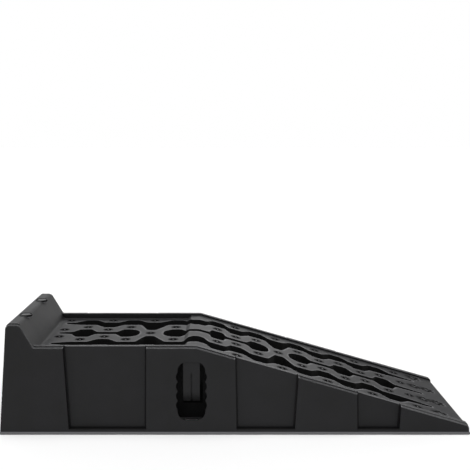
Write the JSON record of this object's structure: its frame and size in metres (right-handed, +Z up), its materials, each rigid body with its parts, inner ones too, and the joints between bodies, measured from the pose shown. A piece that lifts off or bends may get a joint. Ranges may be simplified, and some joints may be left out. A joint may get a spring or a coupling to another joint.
{
  "type": "plastic car service ramp",
  "caption": "Low-profile moulded plastic service ramp for a car wheel, with a treaded slope, a sunken platform, a wheel stop, scalloped hand slots and rubber feet.",
  "frame": {"origin": "on the floor, under the middle of the ramp's length and width", "axes": "+X down the slope from the wheel stop to the toe, +Y across to the far side, +Z up"},
  "size_m": [0.922, 0.328, 0.2206],
  "materials": {
    "body_plastic": "matte moulded black polypropylene with a fine grain",
    "plug_plastic": "smooth satin black plastic",
    "foot_rubber": "dull black rubber"
  },
  "bodies": {
    "root": {"ramp_body": "body_plastic", "grip_tongue_near": "body_plastic", "grip_tongue_far": "body_plastic", "stop_plug_near": "plug_plastic", "stop_plug_far": "plug_plastic", "rubber_foot_near_1": "foot_rubber", "rubber_foot_near_2": "foot_rubber", "rubber_foot_near_3": "foot_rubber", "rubber_foot_near_4": "foot_rubber", "rubber_foot_near_5": "foot_rubber", "rubber_foot_far_1": "foot_rubber", "rubber_foot_far_2": "foot_rubber", "rubber_foot_far_3": "foot_rubber", "rubber_foot_far_4": "foot_rubber", "rubber_foot_far_5": "foot_rubber"}
  },
  "joints": []
}
